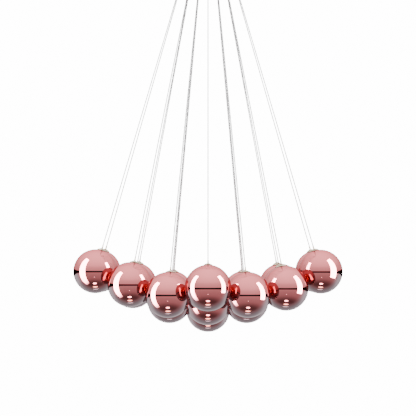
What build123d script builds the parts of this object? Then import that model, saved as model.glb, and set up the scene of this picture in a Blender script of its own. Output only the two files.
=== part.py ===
from build123d import *
import math
import os

# Cluster pendant light: 23 mirrored glass globes on straight cords that fan out from one
# ceiling canopy. Millimetres, +Z up, the origin on the ceiling at the centre of the bracket,
# -Y towards the front. Columns a to g run from left to right, and globes in a column are
# numbered from front to back.

# ---- driving dimensions -----------------------------------------------------------------
GLOBE_R = 60.0
GLASS = 2.5
NECK_R = 10.0
ROW_PITCH = 121.0
INNER_COLUMN = 104.5
MIDDLE_COLUMN = 208.0
END_COLUMN = 306.5
LOWEST_Z = -950.0
APEX_Z = 228.0

# Height of each globe above the lowest one, front to back, for each column.
COLUMNS = {
    "a": (-END_COLUMN, (108, 108)),
    "b": (-MIDDLE_COLUMN, (73, 65, 72)),
    "c": (-INNER_COLUMN, (47, 27, 27, 48)),
    "d": (0.0, (66, 25, 0, 25, 66)),
    "e": (INNER_COLUMN, (47, 27, 27, 48)),
    "f": (MIDDLE_COLUMN, (63, 62, 69)),
    "g": (END_COLUMN, (107, 107)),
}
OUTER = ("a1", "a2", "b1", "b3", "c1", "c4", "d1", "d5", "e1", "e4", "f1", "f3", "g1", "g2")

# Globe cap, cord grip, lampholder and lamp, along the pendant's own axis from the globe centre.
CAP_R = 12.5
CAP_RIM = 59.0
CAP_TOP = 65.0
CAP_WALL = 1.2
CAP_SHOULDER_R = 7.75
CAP_SHOULDER = 62.9
CAP_CONE = 3.0
SEAT_GAP = 0.05
GRIP_R = 2.3
GRIP_TOP_R = 1.8
GRIP_FOOT = CAP_TOP + SEAT_GAP
GRIP_STRAIGHT = 2.5
GRIP_TOP = 74.0
HOLDER_R = 8.0
HOLDER_NECK_R = 4.0
HOLDER_FOOT = 46.0
HOLDER_SHOULDER = 59.5
HOLDER_NECK = 61.9
HOLDER_TOP = 63.3
LAMP_R = 5.0
LAMP_TIP = 16.0

CORD_R = 1.5

# Canopy.
CANOPY_R = 110.0
CANOPY_HEIGHT = 50.0
SHEET = 1.5
CANOPY_FILLET = 7.0
FLOOR_Z = -CANOPY_HEIGHT + SHEET

# Cord glands in the canopy floor.
GLAND_TIP_Z = -CANOPY_HEIGHT - 10.0
PIVOT_Z = GLAND_TIP_Z + 1.0
GLAND_NOSE_R = 5.0
GLAND_COLLAR_R = 7.0
GLAND_COLLAR = 3.0
GLAND_SLOPE = 1.0
GLAND_THREAD_R = 4.0
GLAND_THREAD_TOP = FLOOR_Z + 6.0
GLAND_BORE_R = 1.8
GLAND_MOUTH_R = 4.0
GLAND_MOUTH_DEPTH = 2.6
NUT_ACROSS = 12.0
NUT_HEIGHT = 3.0
FIT_GAP = 0.1

# Inside the canopy.
TAIL_FOOT_Z = PIVOT_Z + CORD_R + 0.3
TERMINAL_FOOT_Z = -34.0
TERMINAL = (9.0, 6.5)
TERMINAL_CHAMFER = 0.8
BOARD_Z = -26.0
BOARD_THICK = 1.6
BOARD_R = 99.0
STANDOFF_RING_R = 92.0
STANDOFF_R = 3.5
STANDOFF_ANGLES = (42, 138, 222, 318)
DRIVER = (104.0, 40.0, 17.0)
DRIVER_Y = 40.0
DRIVER_FOOT_X = 60.0
DRIVER_FOOT = 2.0
DRIVER_CORNER_R = 3.0
DRIVER_EDGE_R = 1.5
DRIVER_BASE = (134.0, 16.0)
SMALL_SCREW_R = 1.5
SMALL_HEAD_R = 2.9
SMALL_HOLE_R = 1.7
MAINS_BLOCK = (32.0, 18.0, 13.0)
MAINS_BLOCK_Y = -38.0
MAINS_BLOCK_CHAMFER = 1.2
MAINS_WELL_PITCH = (10.0, 9.0)
MAINS_WELL_R = 2.0
MAINS_WELL_DEPTH = 5.0

# Ceiling bracket.
BRACKET_LENGTH = 214.0
BRACKET_WIDTH = 30.0
BRACKET_SHEET = 2.0
EAR_HEIGHT = 18.0
CEILING_SPACING = 130.0
CEILING_HOLE_R = 2.75
MAINS_HOLE_R = 8.0
MAINS_BORE_R = 4.5
SIDE_SCREW_Z = -11.0
SIDE_SCREW_R = 2.0
SIDE_HEAD_R = 4.0
SIDE_HEAD = 2.2
SIDE_SCREW_GAP = 0.2
SIDE_SCREW_LENGTH = 10.0
SIDE_SCREW_EDGE_R = 1.0
GROMMET_TOP_Z = -0.2
GROMMET_FLANGE_R = 11.0
GROMMET_FLANGE = 2.5
GROMMET_NOSE = 4.0
EARTH_X = 36.0
EARTH_HOLE_R = 2.1
EARTH_STUD_R = 2.0
EARTH_STUD_FOOT_Z = -11.0
EARTH_STUD_TOP_Z = -0.2
EARTH_NUT_R = 3.5
EARTH_NUT = 3.2
EARTH_WASHER_R = 4.5
EARTH_WASHER = 1.0

os.makedirs("parts", exist_ok=True)


# ---- places -----------------------------------------------------------------------------
def pendant_centres():
    """Centre of every globe, by name."""
    centres = {}
    for column, (x, rises) in COLUMNS.items():
        front = -(len(rises) - 1) / 2 * ROW_PITCH
        for index, rise in enumerate(rises):
            name = f"{column}{index + 1}"
            centres[name] = Vector(x, front + index * ROW_PITCH, LOWEST_Z + rise)
    return centres


CENTRES = pendant_centres()
INNER = [name for name in CENTRES if name not in OUTER]
APEX = Vector(0, 0, APEX_Z)


def axis_of(name):
    """Unit vector from a globe's centre up along its cord."""
    return (APEX - CENTRES[name]).normalized()


def pivot_of(name):
    """Where the cord leaves its gland."""
    centre = CENTRES[name]
    share = (APEX_Z - PIVOT_Z) / (APEX_Z - centre.Z)
    return APEX + (centre - APEX) * share


def profile_plane(name):
    """Half-section plane of a pendant: local Y is the pendant's axis."""
    up = axis_of(name)
    side = Vector(0, 1, 0).cross(up).normalized()
    return Plane(origin=CENTRES[name], x_dir=side, z_dir=side.cross(up))


def pendant_axis(name):
    return Axis(CENTRES[name], axis_of(name))


# ---- pendants ---------------------------------------------------------------------------
def make_globes(names):
    """Blown glass shells, each with a round neck hole under its cap."""
    inner_r = GLOBE_R - GLASS
    outer_neck = (NECK_R, math.sqrt(GLOBE_R**2 - NECK_R**2))
    inner_neck = (NECK_R, math.sqrt(inner_r**2 - NECK_R**2))
    with BuildPart() as globes:
        for name in names:
            with BuildSketch(profile_plane(name)):
                with BuildLine():
                    ThreePointArc((0, -GLOBE_R), (GLOBE_R, 0), outer_neck)
                    Line(outer_neck, inner_neck)
                    ThreePointArc(inner_neck, (inner_r, 0), (0, -inner_r))
                    Line((0, -inner_r), (0, -GLOBE_R))
                make_face()
            revolve(axis=pendant_axis(name))
    return globes.part


def make_caps(names):
    """Domed metal caps that close the necks."""
    rim = (CAP_R, CAP_RIM)
    inner_rim = (CAP_R - CAP_WALL, CAP_RIM)
    ceiling = CAP_TOP - CAP_WALL
    with BuildPart() as caps:
        for name in names:
            with BuildSketch(profile_plane(name)):
                with BuildLine():
                    ThreePointArc(rim, (CAP_SHOULDER_R, CAP_SHOULDER), (GRIP_R, CAP_TOP))
                    Line((GRIP_R, CAP_TOP), (0, CAP_TOP))
                    Line((0, CAP_TOP), (0, ceiling))
                    Line((0, ceiling), (HOLDER_R, ceiling - CAP_CONE))
                    Line((HOLDER_R, ceiling - CAP_CONE), inner_rim)
                    Line(inner_rim, rim)
                make_face()
            revolve(axis=pendant_axis(name))
    return caps.part


def make_cord_grips(names):
    """Tapered cord grips on the caps."""
    with BuildPart() as grips:
        for name in names:
            with BuildSketch(profile_plane(name)):
                with BuildLine():
                    Polyline(
                        (0, GRIP_FOOT),
                        (GRIP_R, GRIP_FOOT),
                        (GRIP_R, GRIP_FOOT + GRIP_STRAIGHT),
                        (GRIP_TOP_R, GRIP_TOP),
                        (0, GRIP_TOP),
                        close=True,
                    )
                make_face()
            revolve(axis=pendant_axis(name))
    return grips.part


def make_lampholders(names):
    """Ceramic lampholders that hang from the caps through the necks."""
    with BuildPart() as lampholders:
        for name in names:
            with BuildSketch(profile_plane(name)):
                with BuildLine():
                    Polyline(
                        (0, HOLDER_FOOT),
                        (HOLDER_R, HOLDER_FOOT),
                        (HOLDER_R, HOLDER_SHOULDER),
                        (HOLDER_NECK_R, HOLDER_NECK),
                        (0, HOLDER_TOP),
                        close=True,
                    )
                make_face()
            revolve(axis=pendant_axis(name))
    return lampholders.part


def make_lamps(names):
    """Capsule lamps, each seated against its lampholder."""
    foot = HOLDER_FOOT - SEAT_GAP
    shoulder = LAMP_TIP + LAMP_R
    quarter = LAMP_R * math.sqrt(0.5)
    with BuildPart() as lamps:
        for name in names:
            with BuildSketch(profile_plane(name)):
                with BuildLine():
                    Line((0, foot), (LAMP_R, foot))
                    Line((LAMP_R, foot), (LAMP_R, shoulder))
                    ThreePointArc((LAMP_R, shoulder), (quarter, shoulder - quarter), (0, LAMP_TIP))
                    Line((0, LAMP_TIP), (0, foot))
                make_face()
            revolve(axis=pendant_axis(name))
    return lamps.part


def make_cords(names):
    """Straight taut cords from gland mouth to cord grip, each with a round top end."""
    with BuildPart() as cords:
        for name in names:
            pivot = pivot_of(name)
            end = CENTRES[name] + axis_of(name) * GRIP_TOP
            with BuildSketch(Plane(origin=pivot, z_dir=end - pivot)):
                Circle(CORD_R)
            extrude(amount=(end - pivot).length)
            with Locations(pivot):
                Sphere(CORD_R)
    return cords.part


def save(part, name):
    part.label = name
    export_step(part, f"parts/{name}.step")


for name in OUTER:
    save(make_globes([name]), f"globe_{name}")
    fittings = [make([name]) for make in (make_caps, make_cord_grips, make_lampholders, make_lamps)]
    with BuildPart() as cap:
        add(fittings)
    save(cap.part, f"cap_{name}")
    save(make_cords([name]), f"cable_{name}")

save(make_globes(INNER), "inner_globes")
with BuildPart() as inner_caps:
    add([make_caps(INNER), make_cord_grips(INNER)])
save(inner_caps.part, "inner_caps")
save(make_lampholders(INNER), "inner_lampholders")
save(make_lamps(INNER), "inner_lamps")
save(make_cords(INNER), "inner_cables")

# ---- canopy -----------------------------------------------------------------------------
GLAND_PLACES = [(pivot_of(name).X, pivot_of(name).Y) for name in CENTRES]
STANDOFF_PLACES = [
    (
        STANDOFF_RING_R * math.cos(math.radians(angle)),
        STANDOFF_RING_R * math.sin(math.radians(angle)),
    )
    for angle in STANDOFF_ANGLES
]

with BuildPart() as canopy_cover:
    with BuildSketch(Plane.XY.offset(-CANOPY_HEIGHT)):
        Circle(CANOPY_R)
    extrude(amount=CANOPY_HEIGHT)
    fillet(canopy_cover.edges().group_by(Axis.Z)[0], CANOPY_FILLET)
    offset(amount=-SHEET, openings=canopy_cover.faces().sort_by(Axis.Z)[-1])
    with BuildSketch(Plane.XY.offset(-CANOPY_HEIGHT)):
        with Locations(*GLAND_PLACES):
            Circle(GLAND_THREAD_R + FIT_GAP)
    extrude(amount=SHEET, mode=Mode.SUBTRACT)
    with BuildSketch(Plane.YZ.offset(-CANOPY_R - 1)):
        with Locations((0, SIDE_SCREW_Z)):
            Circle(SIDE_SCREW_R + SIDE_SCREW_GAP)
    extrude(amount=2 * CANOPY_R + 2, mode=Mode.SUBTRACT)
save(canopy_cover.part, "canopy_cover")

with BuildPart() as cable_glands:
    for x, y in GLAND_PLACES:
        with BuildSketch(Plane(origin=(x, y, 0), x_dir=(1, 0, 0), z_dir=(0, -1, 0))):
            with BuildLine():
                Polyline(
                    (GLAND_BORE_R, GLAND_THREAD_TOP),
                    (GLAND_THREAD_R, GLAND_THREAD_TOP),
                    (GLAND_THREAD_R, -CANOPY_HEIGHT),
                    (GLAND_COLLAR_R, -CANOPY_HEIGHT),
                    (GLAND_COLLAR_R, -CANOPY_HEIGHT - GLAND_COLLAR),
                    (GLAND_NOSE_R, -CANOPY_HEIGHT - GLAND_COLLAR - GLAND_SLOPE),
                    (GLAND_NOSE_R, GLAND_TIP_Z),
                    (GLAND_MOUTH_R, GLAND_TIP_Z),
                    (GLAND_BORE_R, GLAND_TIP_Z + GLAND_MOUTH_DEPTH),
                    close=True,
                )
            make_face()
        revolve(axis=Axis((x, y, 0), (0, 0, 1)))
    with BuildSketch(Plane.XY.offset(FLOOR_Z)):
        with Locations(*GLAND_PLACES):
            RegularPolygon(NUT_ACROSS / 2, 6, major_radius=False)
            Circle(GLAND_THREAD_R + FIT_GAP, mode=Mode.SUBTRACT)
    extrude(amount=NUT_HEIGHT)
save(cable_glands.part, "cable_glands")

with BuildPart() as cable_tails:
    with BuildSketch(Plane.XY.offset(TAIL_FOOT_Z)):
        with Locations(*GLAND_PLACES):
            Circle(CORD_R)
    extrude(amount=TERMINAL_FOOT_Z - TAIL_FOOT_Z)
save(cable_tails.part, "cable_tails")

with BuildPart() as cord_terminals:
    with BuildSketch(Plane.XY.offset(TERMINAL_FOOT_Z)):
        with Locations(*GLAND_PLACES):
            Rectangle(TERMINAL[0], TERMINAL[1])
    extrude(amount=BOARD_Z - TERMINAL_FOOT_Z)
    chamfer(cord_terminals.edges().filter_by(Axis.Z), TERMINAL_CHAMFER)
save(cord_terminals.part, "cord_terminals")

with BuildPart() as wiring_board:
    with BuildSketch(Plane.XY.offset(BOARD_Z)):
        Circle(BOARD_R)
        with Locations(*STANDOFF_PLACES):
            Circle(SMALL_HOLE_R, mode=Mode.SUBTRACT)
    extrude(amount=BOARD_THICK)
save(wiring_board.part, "wiring_board")

with BuildPart() as board_standoffs:
    with BuildSketch(Plane.XY.offset(FLOOR_Z)):
        with Locations(*STANDOFF_PLACES):
            RegularPolygon(STANDOFF_R, 6, major_radius=False)
    extrude(amount=BOARD_Z - FLOOR_Z)
save(board_standoffs.part, "board_standoffs")

DECK_Z = BOARD_Z + BOARD_THICK
DRIVER_FEET = [(-DRIVER_FOOT_X, DRIVER_Y), (DRIVER_FOOT_X, DRIVER_Y)]
with BuildPart() as led_driver:
    with BuildSketch(Plane.XY.offset(DECK_Z + DRIVER_FOOT)):
        with Locations((0, DRIVER_Y)):
            RectangleRounded(DRIVER[0], DRIVER[1], DRIVER_CORNER_R)
    extrude(amount=DRIVER[2] - DRIVER_FOOT)
    fillet(led_driver.edges().group_by(Axis.Z)[-1], DRIVER_EDGE_R)
    with BuildSketch(Plane.XY.offset(DECK_Z)):
        with Locations((0, DRIVER_Y)):
            RectangleRounded(DRIVER_BASE[0], DRIVER_BASE[1], DRIVER_CORNER_R)
        with Locations(*DRIVER_FEET):
            Circle(SMALL_HOLE_R, mode=Mode.SUBTRACT)
    extrude(amount=DRIVER_FOOT)
save(led_driver.part, "led_driver")

with BuildPart() as board_screws:
    with BuildSketch(Plane.XY.offset(BOARD_Z)):
        with Locations(*STANDOFF_PLACES):
            Circle(SMALL_SCREW_R)
    extrude(amount=BOARD_THICK)
    with BuildSketch(Plane.XY.offset(DECK_Z)):
        with Locations(*STANDOFF_PLACES):
            Circle(SMALL_HEAD_R)
        with Locations(*DRIVER_FEET):
            Circle(SMALL_SCREW_R)
    extrude(amount=DRIVER_FOOT)
    with BuildSketch(Plane.XY.offset(DECK_Z + DRIVER_FOOT)):
        with Locations(*DRIVER_FEET):
            Circle(SMALL_HEAD_R)
    extrude(amount=DRIVER_FOOT)
save(board_screws.part, "board_screws")

with BuildPart() as mains_terminal_block:
    with BuildSketch(Plane.XY.offset(DECK_Z)):
        with Locations((0, MAINS_BLOCK_Y)):
            Rectangle(MAINS_BLOCK[0], MAINS_BLOCK[1])
    extrude(amount=MAINS_BLOCK[2])
    chamfer(mains_terminal_block.edges().group_by(Axis.Z)[-1], MAINS_BLOCK_CHAMFER)
    with BuildSketch(Plane.XY.offset(DECK_Z + MAINS_BLOCK[2])):
        with Locations((0, MAINS_BLOCK_Y)):
            with GridLocations(MAINS_WELL_PITCH[0], MAINS_WELL_PITCH[1], 3, 2):
                Circle(MAINS_WELL_R)
    extrude(amount=-MAINS_WELL_DEPTH, mode=Mode.SUBTRACT)
save(mains_terminal_block.part, "mains_terminal_block")

with BuildPart() as ceiling_bracket:
    with BuildSketch(Plane.XY.offset(-BRACKET_SHEET)):
        Rectangle(BRACKET_LENGTH, BRACKET_WIDTH)
        with Locations((-CEILING_SPACING / 2, 0), (CEILING_SPACING / 2, 0)):
            Circle(CEILING_HOLE_R, mode=Mode.SUBTRACT)
        Circle(MAINS_HOLE_R, mode=Mode.SUBTRACT)
        with Locations((EARTH_X, 0)):
            Circle(EARTH_HOLE_R, mode=Mode.SUBTRACT)
    extrude(amount=BRACKET_SHEET)
    for side in (-1, 1):
        ear_x = side * (BRACKET_LENGTH - BRACKET_SHEET) / 2
        with BuildSketch(Plane.XY.offset(-BRACKET_SHEET)):
            with Locations((ear_x, 0)):
                Rectangle(BRACKET_SHEET, BRACKET_WIDTH)
        extrude(amount=-(EAR_HEIGHT - BRACKET_SHEET))
    with BuildSketch(Plane.YZ.offset(-BRACKET_LENGTH / 2 - 1)):
        with Locations((0, SIDE_SCREW_Z)):
            Circle(SIDE_SCREW_R + FIT_GAP)
    extrude(amount=BRACKET_LENGTH + 2, mode=Mode.SUBTRACT)
save(ceiling_bracket.part, "ceiling_bracket")

with BuildPart() as cover_screws:
    for side in (-1, 1):
        head_plane = Plane(origin=(side * CANOPY_R, 0, SIDE_SCREW_Z), z_dir=(side, 0, 0))
        with BuildSketch(head_plane):
            Circle(SIDE_HEAD_R)
        extrude(amount=SIDE_HEAD)
        with BuildSketch(head_plane):
            Circle(SIDE_SCREW_R)
        extrude(amount=-SIDE_SCREW_LENGTH)
    fillet(cover_screws.edges().group_by(Axis.X)[0], SIDE_SCREW_EDGE_R)
    fillet(cover_screws.edges().group_by(Axis.X)[-1], SIDE_SCREW_EDGE_R)
save(cover_screws.part, "cover_screws")

with BuildPart() as mains_grommet:
    with BuildSketch(Plane.XZ):
        with BuildLine():
            Polyline(
                (MAINS_BORE_R, GROMMET_TOP_Z),
                (MAINS_HOLE_R - FIT_GAP, GROMMET_TOP_Z),
                (MAINS_HOLE_R - FIT_GAP, -BRACKET_SHEET),
                (GROMMET_FLANGE_R, -BRACKET_SHEET),
                (GROMMET_FLANGE_R, -BRACKET_SHEET - GROMMET_FLANGE),
                (MAINS_BORE_R, -BRACKET_SHEET - GROMMET_NOSE),
                close=True,
            )
        make_face()
    revolve(axis=Axis.Z)
save(mains_grommet.part, "mains_grommet")

with BuildPart() as earth_terminal:
    with BuildSketch(Plane.XY.offset(EARTH_STUD_FOOT_Z)):
        with Locations((EARTH_X, 0)):
            Circle(EARTH_STUD_R)
    extrude(amount=EARTH_STUD_TOP_Z - EARTH_STUD_FOOT_Z)
    with BuildSketch(Plane.XY.offset(-BRACKET_SHEET)):
        with Locations((EARTH_X, 0)):
            RegularPolygon(EARTH_NUT_R, 6, major_radius=False)
    extrude(amount=-EARTH_NUT)
    with BuildSketch(Plane.XY.offset(-BRACKET_SHEET - EARTH_NUT)):
        with Locations((EARTH_X, 0)):
            Circle(EARTH_WASHER_R)
    extrude(amount=-EARTH_WASHER)
save(earth_terminal.part, "earth_terminal")

for name in CENTRES:
    length = (pivot_of(name) - CENTRES[name]).length - GRIP_TOP
    print(f"cord {name}: {length:.1f} mm, gland at ({pivot_of(name).X:.2f}, {pivot_of(name).Y:.2f})")
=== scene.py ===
import math

import bmesh
import bpy
from mathutils import Matrix, Vector


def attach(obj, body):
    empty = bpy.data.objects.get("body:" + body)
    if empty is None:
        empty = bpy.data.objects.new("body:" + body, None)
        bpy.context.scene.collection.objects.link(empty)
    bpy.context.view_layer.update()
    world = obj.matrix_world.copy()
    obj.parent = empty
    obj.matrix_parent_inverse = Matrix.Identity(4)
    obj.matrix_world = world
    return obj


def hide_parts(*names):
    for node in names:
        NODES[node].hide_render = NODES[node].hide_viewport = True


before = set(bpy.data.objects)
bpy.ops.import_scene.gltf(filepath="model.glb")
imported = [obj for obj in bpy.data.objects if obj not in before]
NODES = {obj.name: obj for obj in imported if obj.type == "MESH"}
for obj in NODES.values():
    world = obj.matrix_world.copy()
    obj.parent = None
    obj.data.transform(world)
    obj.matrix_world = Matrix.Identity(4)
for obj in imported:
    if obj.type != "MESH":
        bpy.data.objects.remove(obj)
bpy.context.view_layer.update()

# Cluster pendant light: 23 mirrored glass globes on straight cords that fan out from one
# ceiling canopy. Metres, in the CAD frame: +Z up, the origin on the ceiling, -Y to the front.

FRAME_BODY = "light_frame"

# ---- driving dimensions, as in the CAD model --------------------------------------------
GLOBE_R = 0.060
GLASS = 0.0025
NECK_R = 0.010
ROW_PITCH = 0.121
LOWEST_Z = -0.950
APEX = Vector((0.0, 0.0, 0.228))
PIVOT_Z = -0.059
CORD_R = 0.0015

CAP_R = 0.0125
CAP_RIM = 0.059
CAP_TOP = 0.065
GRIP_R = 0.0023
GRIP_TOP_R = 0.0018
GRIP_TOP = 0.074
HOLDER_R = 0.008
HOLDER_FOOT = 0.046
HOLDER_NECK_R = 0.004
HOLDER_SHOULDER = 0.0595
HOLDER_NECK = 0.0619
HOLDER_TOP = 0.0633
HOLDER_GROOVES = (0.0510, 0.0550)
LAMP_R = 0.005
LAMP_TIP = 0.016
LAMP_FOOT_R = 0.8 * LAMP_R
LAMP_PINCH_R = 0.85 * LAMP_R
LAMP_GAP = 0.00005

CANOPY_HEIGHT = 0.050
SHEET = 0.0015
GLAND_TIP = 0.010
GLAND_COLLAR = 0.003
GLAND_COLLAR_R = 0.007
GLAND_NOSE_R = 0.005
GLAND_MOUTH_R = 0.004
GLAND_MOUTH_DEPTH = 0.0026
GLAND_THREAD_R = 0.004
GLAND_BORE_R = 0.0018
GLAND_THREAD = 0.006
NUT_R = 0.006
NUT_HEIGHT = 0.003
NUT_GAP = 0.0001

# For each column: its place across, and the height of each globe above the lowest one, front
# to back.
COLUMNS = {
    "a": (-0.3065, (0.108, 0.108)),
    "b": (-0.2080, (0.073, 0.065, 0.072)),
    "c": (-0.1045, (0.047, 0.027, 0.027, 0.048)),
    "d": (0.0, (0.066, 0.025, 0.0, 0.025, 0.066)),
    "e": (0.1045, (0.047, 0.027, 0.027, 0.048)),
    "f": (0.2080, (0.063, 0.062, 0.069)),
    "g": (0.3065, (0.107, 0.107)),
}


def pendant_centres():
    """Centre of every globe, by name."""
    centres = {}
    for column, (x, rises) in COLUMNS.items():
        front = -(len(rises) - 1) / 2 * ROW_PITCH
        for index, rise in enumerate(rises):
            centres[f"{column}{index + 1}"] = Vector((x, front + index * ROW_PITCH, LOWEST_Z + rise))
    return centres


CENTRES = pendant_centres()
OUTER = [name for name in CENTRES if f"globe_{name}" in NODES]
INNER = [name for name in CENTRES if name not in OUTER]


def axis_of(name):
    """Unit vector from a globe's centre up along its cord."""
    return (APEX - CENTRES[name]).normalized()


def pivot_of(name):
    """Where the cord leaves its gland."""
    centre = CENTRES[name]
    return APEX + (centre - APEX) * (APEX.z - PIVOT_Z) / (APEX.z - centre.z)


def body_of(name):
    return f"pendant_{name}" if name in OUTER else FRAME_BODY


def pendant_matrix(name):
    """A pendant's own frame: the origin at the globe's centre, +Z up along the cord."""
    turn = axis_of(name).to_track_quat("Z", "Y").to_matrix().to_4x4()
    return Matrix.Translation(CENTRES[name]) @ turn


# ---- camera -----------------------------------------------------------------------------
CAMERA_PLACE = Vector((0.0, -3.243, -0.825))
CAMERA_PITCH = 2.795
CAMERA_LENS = 101.03
CAMERA_SENSOR = 36.0


def make_camera():
    data = bpy.data.cameras.new("camera")
    data.lens = CAMERA_LENS
    data.sensor_width = CAMERA_SENSOR
    camera = bpy.data.objects.new("camera", data)
    camera.location = CAMERA_PLACE
    camera.rotation_euler = (math.radians(90.0 + CAMERA_PITCH), 0.0, 0.0)
    bpy.context.scene.collection.objects.link(camera)
    bpy.context.scene.camera = camera


make_camera()


# ---- node helpers -----------------------------------------------------------------------
class Net:
    """Short calls that add nodes to a tree and give their output sockets."""

    def __init__(self, tree):
        self.tree = tree

    def node(self, kind, **settings):
        made = self.tree.nodes.new(kind)
        for key, value in settings.items():
            setattr(made, key, value)
        return made

    def feed(self, socket, value):
        if isinstance(value, bpy.types.NodeSocket):
            self.tree.links.new(value, socket)
        elif value is not None:
            socket.default_value = value

    def math(self, operation, a, b=None, c=None):
        made = self.node("ShaderNodeMath", operation=operation)
        for socket, value in zip(made.inputs, (a, b, c)):
            self.feed(socket, value)
        return made.outputs[0]

    def smooth(self, value, low, high, start=0.0, end=1.0):
        """From start to end as value goes from low to high."""
        made = self.node("ShaderNodeMapRange", interpolation_type="SMOOTHSTEP")
        for name, given in (
            ("Value", value),
            ("From Min", low),
            ("From Max", high),
            ("To Min", start),
            ("To Max", end),
        ):
            self.feed(made.inputs[name], given)
        return made.outputs["Result"]

    def split(self, vector):
        """The x, y and z of a vector."""
        made = self.node("ShaderNodeSeparateXYZ")
        self.feed(made.inputs[0], vector)
        return made.outputs

    def mix(self, share, a, b):
        """Colour mix."""
        made = self.node("ShaderNodeMix", data_type="RGBA")
        self.feed(made.inputs["Factor"], share)
        self.feed(made.inputs[6], a)
        self.feed(made.inputs[7], b)
        return made.outputs[2]

    def ramp(self, value, stops):
        """Smooth curve through (value, result) stops for values from 0 to 1, given ends first."""
        top = max(result for place, result in stops)
        made = self.node("ShaderNodeFloatCurve")
        curve = made.mapping.curves[0]
        for index, (place, result) in enumerate(stops):
            if index < 2:
                curve.points[index].location = (place, result / top)
            else:
                curve.points.new(place, result / top)
        made.mapping.update()
        self.feed(made.inputs["Value"], value)
        return self.math("MULTIPLY", made.outputs[0], top)

    def coordinates(self, kind="Object", scale=(1.0, 1.0, 1.0)):
        source = self.node("ShaderNodeTexCoord").outputs[kind]
        made = self.node("ShaderNodeMapping")
        self.feed(made.inputs["Vector"], source)
        made.inputs["Scale"].default_value = scale
        return made.outputs["Vector"]

    def noise(self, vector, scale, detail=2.0, roughness=0.5):
        made = self.node("ShaderNodeTexNoise")
        for name, given in (
            ("Vector", vector),
            ("Scale", scale),
            ("Detail", detail),
            ("Roughness", roughness),
        ):
            self.feed(made.inputs[name], given)
        return made.outputs[0]

    def bump(self, height, strength, distance):
        made = self.node("ShaderNodeBump")
        made.inputs["Strength"].default_value = strength
        made.inputs["Distance"].default_value = distance
        self.feed(made.inputs["Height"], height)
        return made.outputs["Normal"]


def new_material(name, **sockets):
    """A Principled material with these plain socket values."""
    material = bpy.data.materials.new(name)
    material.use_nodes = True
    net = Net(material.node_tree)
    shader = next(n for n in material.node_tree.nodes if n.type == "BSDF_PRINCIPLED")
    for key, value in sockets.items():
        shader.inputs[key.replace("_", " ")].default_value = value
    return material, net, shader


# ---- materials --------------------------------------------------------------------------
WHITE = (1.0, 1.0, 1.0, 1)
ROSE = (0.81, 0.228, 0.238, 1)
ROSE_CLOUD = (0.78, 0.212, 0.222, 1)
ROSE_SHEEN = (0.9, 0.6, 0.6, 1)
# Paler, greyer rose painted on the rim of the globes' lower half: a painted reflection.
PAINTED_RIM_REFLECTION = (0.82, 0.62, 0.68, 1)
CAP_CHAMPAGNE = (0.60, 0.48, 0.33, 1)
CAP_SHADE = (0.52, 0.41, 0.28, 1)
CHAMPAGNE = (0.70, 0.63, 0.53, 1)
CHAMPAGNE_SHADE = (0.62, 0.55, 0.46, 1)
STEEL = (0.62, 0.62, 0.60, 1)
STEEL_SHADE = (0.50, 0.50, 0.49, 1)
BRASS = (0.72, 0.54, 0.25, 1)
BRASS_SHADE = (0.60, 0.43, 0.18, 1)
CORD_GREY = (0.70, 0.69, 0.70, 1)
CORD_PALE = (0.76, 0.75, 0.76, 1)
STEATITE = (0.82, 0.79, 0.72, 1)
STEATITE_SPECK = (0.52, 0.47, 0.40, 1)
LAMP_PALE = (0.95, 0.92, 0.84, 1)
LAMP_CLOUD = (0.86, 0.82, 0.74, 1)
RESIN = (0.50, 0.47, 0.30, 1)
GLASS_FIBRE = (0.60, 0.56, 0.38, 1)
TERMINAL_WHITE = (0.78, 0.77, 0.73, 1)
TERMINAL_SHADE = (0.70, 0.69, 0.65, 1)
CASE_WHITE = (0.74, 0.74, 0.72, 1)
CASE_SHADE = (0.66, 0.66, 0.64, 1)
RUBBER_BLACK = (0.035, 0.035, 0.035, 1)
RUBBER_GREY = (0.06, 0.06, 0.06, 1)

STRAND_TWIST = 0.014


def surface(net, shader, colour, roughness=None, relief=None):
    """Feeds a material's colour, roughness and relief, and leaves out what isn't given."""
    net.feed(shader.inputs["Base Color"], colour)
    net.feed(shader.inputs["Roughness"], roughness)
    net.feed(shader.inputs["Normal"], relief)


def mirrored_glass():
    """Glass with a rose copper mirror coat. Towards the rim of the globe's lower half, its colour
    and edge tint are painted paler and greyer: a painted reflection of the surroundings below."""
    material, net, shader = new_material("rose_mirror", Metallic=1.0)
    place = net.coordinates()
    cloud = net.smooth(net.noise(place, scale=14.0, detail=3.0), low=0.3, high=0.7)
    coating = net.mix(cloud, ROSE, ROSE_CLOUD)
    up = net.split(net.node("ShaderNodeTexCoord").outputs["Normal"])[2]
    lower = net.smooth(up, low=-0.16, high=-0.02, start=1.0, end=0.0)
    facing = net.node("ShaderNodeLayerWeight").outputs["Facing"]
    # Painted reflection: on the rim of the lower half, the base colour and edge tint are painted paler
    # and greyer, standing in for the surroundings mirrored there.
    painted_rim = net.math("MULTIPLY", lower, net.smooth(facing, low=0.22, high=0.56))
    net.feed(shader.inputs["Specular Tint"], net.mix(painted_rim, ROSE_SHEEN, WHITE))
    haze = net.noise(place, scale=60.0, detail=4.0)
    surface(
        net,
        shader,
        net.mix(painted_rim, coating, PAINTED_RIM_REFLECTION),
        net.smooth(haze, low=0.35, high=0.75, start=0.004, end=0.014),
        net.bump(net.noise(place, scale=22.0, detail=1.0), strength=0.08, distance=0.0001),
    )
    return material


def spun_metal(name, base, shadow, roughness, metallic=1.0):
    """Turned sheet metal, with fine rings round its axis."""
    material, net, shader = new_material(name, Metallic=metallic)
    along_turning = net.coordinates("UV", scale=(3.0, 9000.0, 1.0))
    rings = net.noise(along_turning, scale=1.0, detail=3.0, roughness=0.65)
    patina = net.smooth(net.noise(net.coordinates(), scale=90.0, detail=3.0), low=0.35, high=0.75)
    surface(
        net,
        shader,
        net.mix(patina, base, shadow),
        net.smooth(rings, low=0.2, high=0.8, start=roughness, end=roughness + 0.14),
        net.bump(rings, strength=0.25, distance=0.00005),
    )
    return material


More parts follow.
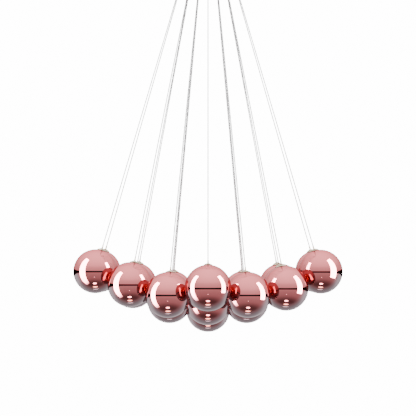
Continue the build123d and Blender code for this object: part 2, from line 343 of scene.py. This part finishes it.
def sheet_metal(name, base, shadow, roughness):
    """Satin sheet metal with a faint straight grain."""
    material, net, shader = new_material(name, Metallic=1.0)
    along_sheet = net.coordinates("Object", scale=(40.0, 900.0, 900.0))
    grain = net.noise(along_sheet, scale=1.0, detail=4.0, roughness=0.6)
    patina = net.smooth(net.noise(net.coordinates(), scale=45.0, detail=4.0), low=0.3, high=0.75)
    surface(
        net,
        shader,
        net.mix(patina, base, shadow),
        net.smooth(grain, low=0.2, high=0.8, start=roughness, end=roughness + 0.15),
        net.bump(grain, strength=0.15, distance=0.00008),
    )
    return material


def cord_jacket():
    """Clear jacket over two twisted tinned conductors."""
    material, net, shader = new_material(
        "clear_cord", Metallic=0.0, Coat_Weight=0.6, Coat_Roughness=0.12, Roughness=0.4
    )
    x, y, z = net.split(net.coordinates())
    angle = net.math("ARCTAN2", y, x)
    turns = net.math("MULTIPLY", z, 2.0 * math.pi / STRAND_TWIST)
    strand = net.math("SINE", net.math("ADD", net.math("MULTIPLY", angle, 2.0), turns))
    share = net.smooth(strand, low=-0.7, high=0.7)
    along_cord = net.coordinates("Object", scale=(3000.0, 3000.0, 500.0))
    fibre = net.noise(along_cord, scale=1.0, detail=2.0)
    relief = net.bump(net.math("ADD", share, fibre), strength=0.08, distance=0.00004)
    surface(net, shader, net.mix(share, CORD_GREY, CORD_PALE), relief=relief)
    return material


def moulded_plastic(name, base, other, roughness, grain=1400.0):
    """Moulded plastic with a fine spark-eroded grain."""
    material, net, shader = new_material(name)
    place = net.coordinates()
    fine = net.noise(place, scale=grain, detail=2.0)
    surface(
        net,
        shader,
        net.mix(net.noise(place, scale=80.0, detail=3.0), base, other),
        net.smooth(fine, low=0.3, high=0.7, start=roughness, end=roughness + 0.12),
        net.bump(fine, strength=0.2, distance=0.00008),
    )
    return material


def glazed_ceramic():
    """Steatite lampholder body, slightly speckled."""
    material, net, shader = new_material("steatite", Coat_Weight=0.3, Coat_Roughness=0.15)
    place = net.coordinates()
    specks = net.smooth(net.noise(place, scale=1900.0, detail=2.0), low=0.66, high=0.74)
    glaze = net.noise(place, scale=300.0, detail=3.0)
    surface(
        net,
        shader,
        net.mix(specks, STEATITE, STEATITE_SPECK),
        net.smooth(glaze, low=0.3, high=0.7, start=0.3, end=0.5),
        net.bump(net.noise(place, scale=700.0, detail=3.0), strength=0.2, distance=0.0001),
    )
    return material


def frosted_lamp():
    """Capsule lamp of cloudy frosted glass, unlit."""
    material, net, shader = new_material("lamp_glass", IOR=1.45, Transmission_Weight=0.35)
    cloud = net.noise(net.coordinates(), scale=500.0, detail=3.0)
    roughness = net.smooth(cloud, low=0.3, high=0.7, start=0.35, end=0.55)
    surface(net, shader, net.mix(cloud, LAMP_PALE, LAMP_CLOUD), roughness)
    return material


def laminate():
    """Glass-fibre board with its weave."""
    material, net, shader = new_material("laminate", Coat_Weight=0.4, Coat_Roughness=0.2)
    x, y = net.split(net.coordinates("Object", scale=(2600.0, 2600.0, 1.0)))[:2]
    weave = net.math("MULTIPLY", net.math("SINE", x), net.math("SINE", y))
    surface(
        net,
        shader,
        net.mix(net.smooth(weave, low=-0.8, high=0.8), RESIN, GLASS_FIBRE),
        net.smooth(weave, low=-1.0, high=1.0, start=0.4, end=0.55),
        net.bump(weave, strength=0.15, distance=0.00006),
    )
    return material


MATERIALS = {
    "mirrored_glass": mirrored_glass(),
    "cap_metal": spun_metal("champagne_cap", CAP_CHAMPAGNE, CAP_SHADE, roughness=0.40, metallic=0.25),
    "canopy_metal": sheet_metal("champagne_canopy", CHAMPAGNE, CHAMPAGNE_SHADE, roughness=0.30),
    "gland_metal": spun_metal("champagne_gland", CHAMPAGNE, CHAMPAGNE_SHADE, roughness=0.24),
    "cord": cord_jacket(),
    "ceramic": glazed_ceramic(),
    "lamp_glass": frosted_lamp(),
    "terminal_plastic": moulded_plastic("white_terminal", TERMINAL_WHITE, TERMINAL_SHADE, roughness=0.38),
    "board": laminate(),
    "screw_steel": sheet_metal("plated_screw", STEEL, STEEL_SHADE, roughness=0.25),
    "driver_case": moulded_plastic("driver_case", CASE_WHITE, CASE_SHADE, roughness=0.45, grain=900.0),
    "bracket_steel": sheet_metal("zinc_bracket", STEEL, STEEL_SHADE, roughness=0.34),
    "rubber": moulded_plastic("grommet_rubber", RUBBER_BLACK, RUBBER_GREY, roughness=0.6, grain=2000.0),
    "brass": sheet_metal("brass", BRASS, BRASS_SHADE, roughness=0.28),
}


# ---- pieces -----------------------------------------------------------------------------
def show(name, data, body, slot, replaced, matrix=None):
    """Adds a finished piece: in place, on its body, with its finish and the nodes it replaces."""
    if matrix is not None:
        data.transform(matrix)
    piece = bpy.data.objects.new(name, data)
    bpy.context.scene.collection.objects.link(piece)
    if not data.materials:
        data.materials.append(MATERIALS[slot])
    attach(piece, body)
    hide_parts(*replaced)
    return piece


# ---- cords ------------------------------------------------------------------------------
CORD_STRAIGHT = 12.0 * CORD_R


def cord_curve(name, length):
    """Taut cord down its own -Z: its gland end, a point near each end, and its grip end."""
    heights = (0.0, -CORD_STRAIGHT, CORD_STRAIGHT - length, -length)
    curve = bpy.data.curves.new(name, "CURVE")
    curve.dimensions = "3D"
    curve.bevel_depth = CORD_R
    curve.bevel_resolution = 3
    curve.use_fill_caps = True
    curve.resolution_u = 6
    spline = curve.splines.new("NURBS")
    spline.points.add(len(heights) - 1)
    for point, height in zip(spline.points, heights):
        point.co = (0.0, 0.0, height, 1.0)
    spline.order_u = 3
    spline.use_endpoint_u = True
    return curve


for name in CENTRES:
    pivot = pivot_of(name)
    length = (pivot - CENTRES[name]).length - GRIP_TOP
    matrix = Matrix.Translation(pivot - CENTRES[name]) @ pendant_matrix(name)
    node = f"cable_{name}" if name in OUTER else "inner_cables"
    curve = cord_curve(f"cord_{name}", length)
    cord = show(f"cord_{name}", curve, body_of(name), "cord", [node], matrix)


# ---- turned shapes ----------------------------------------------------------------------
SHARP_ANGLE = 40.0
ON_AXIS = 1e-7


def arc(centre, radius, start, end, steps):
    """Points of an arc in the half-section, angles in degrees from straight outwards."""
    points = []
    for step in range(steps + 1):
        angle = math.radians(start + (end - start) * step / steps)
        points.append((centre[0] + radius * math.cos(angle), centre[1] + radius * math.sin(angle)))
    return points


def lathe(name, outline, segments, shape=None, shape_from=0.0, sharp=SHARP_ANGLE):
    """Turns a half-section into a mesh. shape(angle) scales radii of shape_from or more."""
    bm = bmesh.new()
    uv_layer = bm.loops.layers.uv.new("turned")
    travelled = [0.0]
    for (r0, z0), (r1, z1) in zip(outline, outline[1:]):
        travelled.append(travelled[-1] + math.hypot(r1 - r0, z1 - z0))
    rings = []
    for radius, height in outline:
        if radius < ON_AXIS:
            rings.append([bm.verts.new((0.0, 0.0, height))])
            continue
        ring = []
        for turn in range(segments):
            angle = 2 * math.pi * turn / segments
            scaled = radius * shape(angle) if shape and radius >= shape_from else radius
            ring.append(bm.verts.new((scaled * math.cos(angle), scaled * math.sin(angle), height)))
        rings.append(ring)
    rows = list(zip(rings, rings[1:], travelled, travelled[1:]))
    if len(rings[0]) > 1:
        rows.append((rings[-1], rings[0], travelled[-1], travelled[-1] + outline[0][0]))
    for low, high, v_low, v_high in rows:
        for turn in range(segments):
            after = (turn + 1) % segments
            u, u_next = turn / segments, (turn + 1) / segments
            corners = []
            if len(low) > 1:
                corners += [(low[turn], u, v_low), (low[after], u_next, v_low)]
            else:
                corners += [(low[0], u, v_low)]
            if len(high) > 1:
                corners += [(high[after], u_next, v_high), (high[turn], u, v_high)]
            else:
                corners += [(high[0], u, v_high)]
            face = bm.faces.new([corner[0] for corner in corners])
            face.smooth = True
            for loop, corner in zip(face.loops, corners):
                loop[uv_layer].uv = corner[1:]
    bmesh.ops.recalc_face_normals(bm, faces=bm.faces)
    mesh = bpy.data.meshes.new(name)
    bm.to_mesh(mesh)
    bm.free()
    mesh.set_sharp_from_angle(angle=math.radians(sharp))
    return mesh


def copies(name, source, matrices, sharp=SHARP_ANGLE):
    """One mesh that holds a copy of the source at each matrix."""
    bm = bmesh.new()
    for matrix in matrices:
        first = len(bm.verts)
        bm.from_mesh(source)
        bm.verts.ensure_lookup_table()
        bmesh.ops.transform(bm, matrix=matrix, verts=bm.verts[first:])
    mesh = bpy.data.meshes.new(name)
    bm.to_mesh(mesh)
    bm.free()
    mesh.set_sharp_from_angle(angle=math.radians(sharp))
    return mesh


# ---- pendants ---------------------------------------------------------------------------
def globe_mesh():
    """Blown shell: outer sphere, fire-polished neck lip, inner sphere."""
    inner_r = GLOBE_R - GLASS
    lip = 0.0008
    neck = math.degrees(math.acos((NECK_R + lip) / GLOBE_R))
    inner_neck = math.degrees(math.acos((NECK_R + lip) / inner_r))
    top = GLOBE_R * math.sin(math.radians(neck)) - lip
    foot = inner_r * math.sin(math.radians(inner_neck)) + lip
    outline = [(0.0, -GLOBE_R)]
    outline += arc((0.0, 0.0), GLOBE_R, -90.0, neck, steps=60)[1:]
    outline += arc((NECK_R + lip, top), lip, 120.0, 180.0, steps=3)
    outline += arc((NECK_R + lip, foot), lip, 180.0, 240.0, steps=3)
    outline += arc((0.0, 0.0), inner_r, inner_neck, -90.0, steps=24)[:-1]
    outline += [(0.0, -inner_r)]
    return lathe("globe", outline, segments=96)


def cap_mesh():
    """Flat domed cap with a rolled rim, a step near its top and a grooved cord grip."""
    edge = 0.0002
    groove = 0.0003
    groove_top = CAP_TOP + 0.0020
    groove_foot = CAP_TOP + 0.0012
    taper_foot = CAP_TOP + 0.0028
    grip = [
        (0.0, GRIP_TOP),
        (CORD_R + edge / 2, GRIP_TOP),
        (GRIP_TOP_R, GRIP_TOP - edge),
        (GRIP_R - edge, taper_foot + edge),
        (GRIP_R, taper_foot),
        (GRIP_R, groove_top),
        (GRIP_R - groove, groove_top - edge),
        (GRIP_R - groove, groove_foot + edge),
        (GRIP_R, groove_foot),
        (GRIP_R, CAP_TOP - edge),
    ]
    crown_r = 0.0048
    crown_z = CAP_TOP - 0.0009
    crown_step = (0.0003, 0.0004)
    foot_z = CAP_RIM + 0.0010
    straightness = 0.75
    steps = 10
    dome = [(crown_r - crown_step[0], crown_z + crown_step[1]), (crown_r, crown_z)]
    for step in range(1, steps + 1):
        share = step / steps
        radius = crown_r + (CAP_R - crown_r) * share
        fall = straightness * share + (1.0 - straightness) * share**2
        dome.append((radius, crown_z + (foot_z - crown_z) * fall))
    bead = 0.0006
    rim = arc((CAP_R - bead, CAP_RIM + bead), bead, 0.0, -180.0, steps=8)
    hollow = ((HOLDER_R + 0.0004, 0.0018), (HOLDER_R / 2, 0.0036), (0.0, 0.0047))
    inside = [(radius, CAP_RIM + depth) for radius, depth in hollow]
    return lathe("cap", grip + dome + rim + inside, segments=64)


def lampholder_mesh():
    """Ceramic body with two grooves and a narrow top."""
    groove = 0.0005
    edge = 0.0006
    outline = [(0.0, HOLDER_FOOT), (HOLDER_R - edge, HOLDER_FOOT), (HOLDER_R, HOLDER_FOOT + edge)]
    for height in HOLDER_GROOVES:
        outline += [
            (HOLDER_R, height),
            (HOLDER_R - groove, height + groove),
            (HOLDER_R - groove, height + 2 * groove),
            (HOLDER_R, height + 3 * groove),
        ]
    outline += [(HOLDER_R, HOLDER_SHOULDER), (HOLDER_NECK_R, HOLDER_NECK), (0.0, HOLDER_TOP)]
    return lathe("lampholder", outline, segments=48)


def lamp_mesh():
    """Capsule with a rounded tip and a pinched foot."""
    foot = HOLDER_FOOT - LAMP_GAP
    pinch = 0.003
    swell = 0.005
    outline = [
        (0.0, foot),
        (LAMP_FOOT_R, foot),
        (LAMP_PINCH_R, foot - pinch),
        (LAMP_R, foot - swell),
    ]
    outline += arc((0.0, LAMP_TIP + LAMP_R), LAMP_R, 0.0, -90.0, steps=10)[:-1]
    outline += [(0.0, LAMP_TIP)]
    return lathe("lamp", outline, segments=40)


PENDANT_PARTS = (
    ("globe", globe_mesh(), "mirrored_glass"),
    ("cap", cap_mesh(), "cap_metal"),
    ("lampholder", lampholder_mesh(), "ceramic"),
    ("lamp", lamp_mesh(), "lamp_glass"),
)

for part, mesh, slot in PENDANT_PARTS:
    mesh.materials.append(MATERIALS[slot])
    for name in OUTER:
        node = f"globe_{name}" if part == "globe" else f"cap_{name}"
        show(f"{part}_{name}_piece", mesh.copy(), body_of(name), slot, [node], pendant_matrix(name))
    joined = copies(f"inner_{part}s", mesh, [pendant_matrix(name) for name in INNER])
    show(f"inner_{part}s_piece", joined, FRAME_BODY, slot, [f"inner_{part}s"])


# ---- canopy -----------------------------------------------------------------------------
FLUTES = 18
FLUTE_DEPTH = 0.035
THREAD_TURNS = 5


def fluted(angle):
    """Grip flutes round a gland's collar, as a share of its radius."""
    return 1.0 - FLUTE_DEPTH * (1.0 + math.cos(FLUTES * angle)) / 2.0


def hexagon(angle):
    """Radius of a hexagon whose flats are at 1."""
    return 1.0 / math.cos((angle % (math.pi / 3)) - math.pi / 6)


def gland_mesh():
    """Cord gland, its foot on the canopy's underside at height 0."""
    edge = 0.0004
    bead = 0.0005
    fillet = 0.0003
    nose = 0.0007
    pitch = 0.001
    thread_top = SHEET + GLAND_THREAD
    outline = [(GLAND_BORE_R, thread_top), (GLAND_THREAD_R - edge, thread_top)]
    for turn in range(THREAD_TURNS):
        height = thread_top - edge - turn * pitch
        outline += [(GLAND_THREAD_R, height), (GLAND_THREAD_R - edge, height - pitch / 2)]
    outline += [
        (GLAND_THREAD_R, 0.0),
        (GLAND_COLLAR_R - edge, 0.0),
        (GLAND_COLLAR_R, -edge),
        (GLAND_COLLAR_R, -GLAND_COLLAR + bead),
        (GLAND_COLLAR_R - bead, -GLAND_COLLAR),
        (GLAND_NOSE_R + fillet, -GLAND_COLLAR - 2 * fillet),
        (GLAND_NOSE_R, -GLAND_COLLAR - 2 * nose),
    ]
    outline += arc((GLAND_NOSE_R - nose, nose - GLAND_TIP), nose, 0.0, -90.0, steps=5)
    outline += [
        (GLAND_MOUTH_R, -GLAND_TIP),
        (GLAND_MOUTH_R - edge, -GLAND_TIP + fillet),
        (GLAND_BORE_R, -GLAND_TIP + GLAND_MOUTH_DEPTH),
    ]
    return lathe("gland", outline, segments=72, shape=fluted, shape_from=GLAND_NOSE_R + edge)


def nut_mesh():
    """Gland nut with turned corners, its foot at height 0."""
    corner = 0.0005
    bore_r = GLAND_THREAD_R + NUT_GAP
    outline = [
        (bore_r, 0.0),
        (NUT_R - corner, 0.0),
        (NUT_R, corner),
        (NUT_R, NUT_HEIGHT - corner),
        (NUT_R - corner, NUT_HEIGHT),
        (bore_r, NUT_HEIGHT),
    ]
    return lathe("nut", outline, segments=48, shape=hexagon, shape_from=NUT_R - 2 * corner)


def raised(name, height):
    """The place straight above a cord's gland mouth."""
    pivot = pivot_of(name)
    return Matrix.Translation((pivot.x, pivot.y, height))


glands = copies("glands", gland_mesh(), [raised(name, -CANOPY_HEIGHT) for name in CENTRES])
nuts = copies("nuts", nut_mesh(), [raised(name, SHEET - CANOPY_HEIGHT) for name in CENTRES])
show("gland_bodies", glands, FRAME_BODY, "gland_metal", ["cable_glands"])
show("gland_nuts", nuts, FRAME_BODY, "gland_metal", ["cable_glands"])

CARRIED = {
    "canopy_cover": "canopy_metal",
    "cable_tails": "cord",
    "cord_terminals": "terminal_plastic",
    "wiring_board": "board",
    "board_standoffs": "brass",
    "board_screws": "screw_steel",
    "led_driver": "driver_case",
    "mains_terminal_block": "terminal_plastic",
    "ceiling_bracket": "bracket_steel",
    "cover_screws": "screw_steel",
    "mains_grommet": "rubber",
    "earth_terminal": "brass",
}
# These keep the CAD's own meshes, and the globes don't mirror them.
for node, slot in CARRIED.items():
    NODES[node].data.materials.clear()
    NODES[node].data.materials.append(MATERIALS[slot])
    NODES[node].visible_glossy = False


# ---- studio -----------------------------------------------------------------------------
# Brightness against height above eye level, or depth below it, from 0 to 1 straight up or
# down: (place, brightness) stops, the two ends first.
UPPER_LIGHT = ((0.0, 0.95), (1.0, 2.42), (0.34, 1.35), (0.5, 1.75), (0.64, 1.95), (0.87, 2.25))
LOWER_LIGHT = (
    (0.0, 0.78),
    (1.0, 0.2),
    (0.36, 0.6),
    (0.57, 0.5),
    (0.72, 0.32),
    (0.84, 0.17),
    (0.93, 0.12),
)
REAR_LIGHT = ((0.0, 0.62), (1.0, 0.25), (0.4, 0.62), (0.75, 0.3))
REAR_FROM = -0.15
REAR_FULL = 0.2
EYE_LEVEL_SOFT = 0.01

# The dark line just below eye level: half its width in front and at the rear.
LINE_HEIGHT = -0.03
LINE_HALF = 0.055
LINE_HALF_REAR = 0.08
LINE_REAR = 0.6
LINE_SOFT = 0.02
LINE_BRIGHTNESS = 0.01

# Lamps as seen on a level plane one unit below: how far back the centre is, half width, half
# length, brightness.
LAMPS = ((-0.445, 0.15, 0.09, 18.0), (0.325, 0.16, 0.024, 4.0), (-1.73, 0.05, 0.12, 5.0))
WARM_LAMP = (-0.017, 0.15, 0.07)
WARM_GLOW = 9.0
WARM_COLOUR = (1.0, 0.80, 0.55, 1)
SHALLOWEST = 0.05
LAMPS_FROM = 0.1
LAMPS_FULL = 0.2

# What a second mirror reflection loses, and the white that the camera sees.
AGAIN_LOSS = 0.6
AGAIN_LAMP_LOSS = 0.9
BACKDROP_GLOW = 15.0


def spot(net, across, along, centre, half_width, half_length):
    """An ellipse of light on a level plane far below."""
    u = net.math("DIVIDE", across, half_width)
    v = net.math("DIVIDE", net.math("SUBTRACT", along, centre), half_length)
    reach = net.math("ADD", net.math("MULTIPLY", u, u), net.math("MULTIPLY", v, v))
    return net.smooth(reach, low=0.7, high=1.25, start=1.0, end=0.0)


def studio_level(net, y, z, fall):
    """Brightness of the surroundings in each direction, with the dark line."""
    upper = net.ramp(z, UPPER_LIGHT)
    front = net.ramp(fall, LOWER_LIGHT)
    rear = net.ramp(fall, REAR_LIGHT)
    is_rear = net.smooth(y, REAR_FROM, REAR_FULL)
    lower = net.math("MULTIPLY_ADD", net.math("SUBTRACT", rear, front), is_rear, front)
    is_up = net.smooth(z, -EYE_LEVEL_SOFT, EYE_LEVEL_SOFT)
    level = net.math("MULTIPLY_ADD", net.math("SUBTRACT", upper, lower), is_up, lower)
    half_line = net.smooth(y, 0.0, LINE_REAR, LINE_HALF, LINE_HALF_REAR)
    from_line = net.math("ABSOLUTE", net.math("SUBTRACT", z, LINE_HEIGHT))
    off_line = net.math("SUBTRACT", from_line, half_line)
    return net.math("MULTIPLY", level, net.smooth(off_line, 0.0, LINE_SOFT, LINE_BRIGHTNESS, 1.0))


def background(net, colour, strength):
    made = net.node("ShaderNodeBackground")
    made.inputs["Color"].default_value = colour
    net.feed(made.inputs["Strength"], strength)
    return made.outputs[0]


def make_world():
    """Pale studio: bright above, dimmer below, a dark line at eye level, small lamps below."""
    world = bpy.data.worlds.new("studio")
    bpy.context.scene.world = world
    world.use_nodes = True
    world.node_tree.nodes.clear()
    net = Net(world.node_tree)
    x, y, z = net.split(net.node("ShaderNodeTexCoord").outputs["Generated"])
    fall = net.math("MULTIPLY", z, -1.0)
    level = studio_level(net, y, z, fall)

    depth = net.math("MAXIMUM", fall, SHALLOWEST)
    across = net.math("DIVIDE", x, depth)
    along = net.math("DIVIDE", y, depth)
    lamps = 0.0
    for centre, half_width, half_length, glow in LAMPS:
        lamp = spot(net, across, along, centre, half_width, half_length)
        lamps = net.math("MULTIPLY_ADD", lamp, glow, lamps)
    warm = net.math("MULTIPLY", spot(net, across, along, *WARM_LAMP), WARM_GLOW)

    light_path = net.node("ShaderNodeLightPath")
    again = net.smooth(light_path.outputs["Ray Depth"], low=2.0, high=3.0)
    level = net.math("MULTIPLY", level, net.math("MULTIPLY_ADD", again, -AGAIN_LOSS, 1.0))
    below = net.smooth(fall, LAMPS_FROM, LAMPS_FULL)
    mirrored = net.math("MULTIPLY", below, light_path.outputs["Is Glossy Ray"])
    mirrored = net.math("MULTIPLY", mirrored, net.math("MULTIPLY_ADD", again, -AGAIN_LAMP_LOSS, 1.0))
    both = net.node("ShaderNodeAddShader")
    net.feed(both.inputs[0], background(net, WHITE, net.math("MULTIPLY_ADD", lamps, mirrored, level)))
    net.feed(both.inputs[1], background(net, WARM_COLOUR, net.math("MULTIPLY", warm, mirrored)))
    choice = net.node("ShaderNodeMixShader")
    net.feed(choice.inputs[0], light_path.outputs["Is Camera Ray"])
    net.feed(choice.inputs[1], both.outputs[0])
    net.feed(choice.inputs[2], background(net, WHITE, BACKDROP_GLOW))
    net.feed(net.node("ShaderNodeOutputWorld").inputs["Surface"], choice.outputs[0])


# The soft boxes: where the right one stands, and how bright they are in a first mirror
# reflection, in later ones, and as light on everything that isn't a mirror.
BOX_PLACE = (0.909, -0.354)
BOX_WIDTH = 0.40
BOX_GLOW = 40.0
BOX_AGAIN = 6.0
BOX_FILL = 2.0


def flat_mesh(name, corners):
    """One flat face through the corners."""
    bm = bmesh.new()
    bm.faces.new([bm.verts.new(corner) for corner in corners])
    mesh = bpy.data.meshes.new(name)
    bm.to_mesh(mesh)
    bm.free()
    return mesh


def box_light(name, foot, fade):
    """Light that fades in from foot to fade, and is dimmer in a second mirror reflection."""
    material = bpy.data.materials.new(name)
    material.use_nodes = True
    material.node_tree.nodes.clear()
    net = Net(material.node_tree)
    rise = net.smooth(net.split(net.coordinates())[2], foot, fade)
    light_path = net.node("ShaderNodeLightPath")
    depth = light_path.outputs["Ray Depth"]
    glow = net.smooth(depth, low=1.0, high=2.0, start=BOX_GLOW, end=BOX_AGAIN)
    mirrored = net.math("MULTIPLY", light_path.outputs["Is Glossy Ray"], glow)
    light = net.node("ShaderNodeEmission")
    level = net.math("MULTIPLY", rise, net.math("MAXIMUM", mirrored, BOX_FILL))
    net.feed(light.inputs["Strength"], level)
    net.feed(net.node("ShaderNodeOutputMaterial").inputs["Surface"], light.outputs[0])
    return material


def soft_box(name, side, foot, fade, top):
    """Tall panel of light beside the object, turned to face it."""
    x, y = side * BOX_PLACE[0], BOX_PLACE[1]
    away = Vector((x, y, 0.0)).normalized()
    along = Vector((-away.y, away.x, 0.0)) * BOX_WIDTH / 2
    ends = ((-1, foot), (1, foot), (1, top), (-1, top))
    mesh = flat_mesh(name, [Vector((x, y, height)) + along * sign for sign, height in ends])
    mesh.materials.append(box_light(name, foot, fade))
    panel = bpy.data.objects.new(name, mesh)
    panel.visible_camera = False
    panel.visible_shadow = False
    bpy.context.scene.collection.objects.link(panel)


FLOOR_Z = -2.6
FLOOR_R = 8.0
FLOOR_FADE_R = 0.3 * FLOOR_R
FLOOR_GLOW = 1.4
FLOOR_PALE = (0.86, 0.85, 0.84, 1)
FLOOR_SPECK = (0.90, 0.89, 0.88, 1)


def make_floor():
    """Pale round floor that fades into the white surroundings; the globes don't mirror it."""
    bm = bmesh.new()
    bmesh.ops.create_circle(bm, cap_ends=True, segments=96, radius=FLOOR_R)
    bmesh.ops.translate(bm, vec=(0.0, 0.0, FLOOR_Z), verts=bm.verts)
    mesh = bpy.data.meshes.new("floor")
    bm.to_mesh(mesh)
    bm.free()
    material, net, shader = new_material("pale_floor", Roughness=0.9)
    place = net.coordinates()
    speck = net.noise(place, scale=30.0, detail=3.0)
    surface(net, shader, net.mix(speck, FLOOR_PALE, FLOOR_SPECK))
    x, y = net.split(place)[:2]
    reach = net.math("SQRT", net.math("MULTIPLY_ADD", y, y, net.math("MULTIPLY", x, x)))
    rise = net.smooth(reach, FLOOR_FADE_R, FLOOR_R)
    fade = net.math("MULTIPLY_ADD", net.math("MULTIPLY", rise, rise), BACKDROP_GLOW, FLOOR_GLOW)
    shader.inputs["Emission Color"].default_value = WHITE
    net.feed(shader.inputs["Emission Strength"], fade)
    mesh.materials.append(material)
    floor = bpy.data.objects.new("floor", mesh)
    floor.visible_glossy = False
    floor.visible_diffuse = False
    bpy.context.scene.collection.objects.link(floor)


make_world()
make_floor()
soft_box("soft_box_left", side=-1, foot=-2.1, fade=-1.0, top=0.16)
soft_box("soft_box_right", side=1, foot=-1.19, fade=-1.14, top=0.14)
